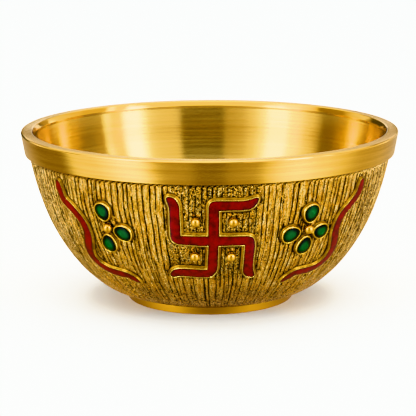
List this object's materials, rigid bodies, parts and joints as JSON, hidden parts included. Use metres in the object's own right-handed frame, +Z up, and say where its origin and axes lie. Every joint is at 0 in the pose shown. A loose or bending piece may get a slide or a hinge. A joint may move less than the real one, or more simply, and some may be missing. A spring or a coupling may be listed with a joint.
{
  "type": "puja bowl",
  "caption": "Round brass puja bowl with a wide rim band, a foot ring, a bark-textured wall, red enamel swastik and waves, green enamel flowers and brass studs.",
  "frame": {"origin": "centre of the foot ring's resting face", "axes": "+Z up along the bowl's axis, through its mouth; -Y towards the decorated front"},
  "size_m": [0.127, 0.127, 0.0578],
  "materials": {
    "antiqued_brass": "bark-textured, bright ridges with dark patina in the grooves",
    "brushed_brass": "satin, brushed round the axis",
    "bright_brass": "polished",
    "red_enamel": "opaque gloss enamel",
    "green_enamel": "translucent gloss enamel over metal"
  },
  "bodies": {
    "root": {"bowl_shell": "antiqued_brass", "rim_band": "brushed_brass", "foot_ring": "brushed_brass", "flower_bead_left_front": "bright_brass", "flower_bead_right_front": "bright_brass", "petal_bezel_left_1_front": "bright_brass", "petal_bezel_left_2_front": "bright_brass", "petal_bezel_left_3_front": "bright_brass", "petal_bezel_right_1_front": "bright_brass", "petal_bezel_right_2_front": "bright_brass", "petal_bezel_right_3_front": "bright_brass", "petal_bezel_right_4_front": "bright_brass", "petal_enamel_left_1_front": "green_enamel", "petal_enamel_left_2_front": "green_enamel", "petal_enamel_left_3_front": "green_enamel", "petal_enamel_right_1_front": "green_enamel", "petal_enamel_right_2_front": "green_enamel", "petal_enamel_right_3_front": "green_enamel", "petal_enamel_right_4_front": "green_enamel", "swastik_enamel_front": "red_enamel", "swastik_frame_front": "bright_brass", "swastik_stud_1_front": "bright_brass", "swastik_stud_2_front": "bright_brass", "swastik_stud_3_front": "bright_brass", "swastik_stud_4_front": "bright_brass", "wave_enamel_left_front": "red_enamel", "wave_enamel_right_front": "red_enamel", "wave_frame_left_front": "bright_brass", "wave_frame_right_front": "bright_brass", "flower_bead_left_back": "bright_brass", "flower_bead_right_back": "bright_brass", "petal_bezel_left_1_back": "bright_brass", "petal_bezel_left_2_back": "bright_brass", "petal_bezel_left_3_back": "bright_brass", "petal_bezel_right_1_back": "bright_brass", "petal_bezel_right_2_back": "bright_brass", "petal_bezel_right_3_back": "bright_brass", "petal_bezel_right_4_back": "bright_brass", "petal_enamel_left_1_back": "green_enamel", "petal_enamel_left_2_back": "green_enamel", "petal_enamel_left_3_back": "green_enamel", "petal_enamel_right_1_back": "green_enamel", "petal_enamel_right_2_back": "green_enamel", "petal_enamel_right_3_back": "green_enamel", "petal_enamel_right_4_back": "green_enamel", "swastik_enamel_back": "red_enamel", "swastik_frame_back": "bright_brass", "swastik_stud_1_back": "bright_brass", "swastik_stud_2_back": "bright_brass", "swastik_stud_3_back": "bright_brass", "swastik_stud_4_back": "bright_brass", "wave_enamel_left_back": "red_enamel", "wave_enamel_right_back": "red_enamel", "wave_frame_left_back": "bright_brass", "wave_frame_right_back": "bright_brass"}
  },
  "joints": []
}
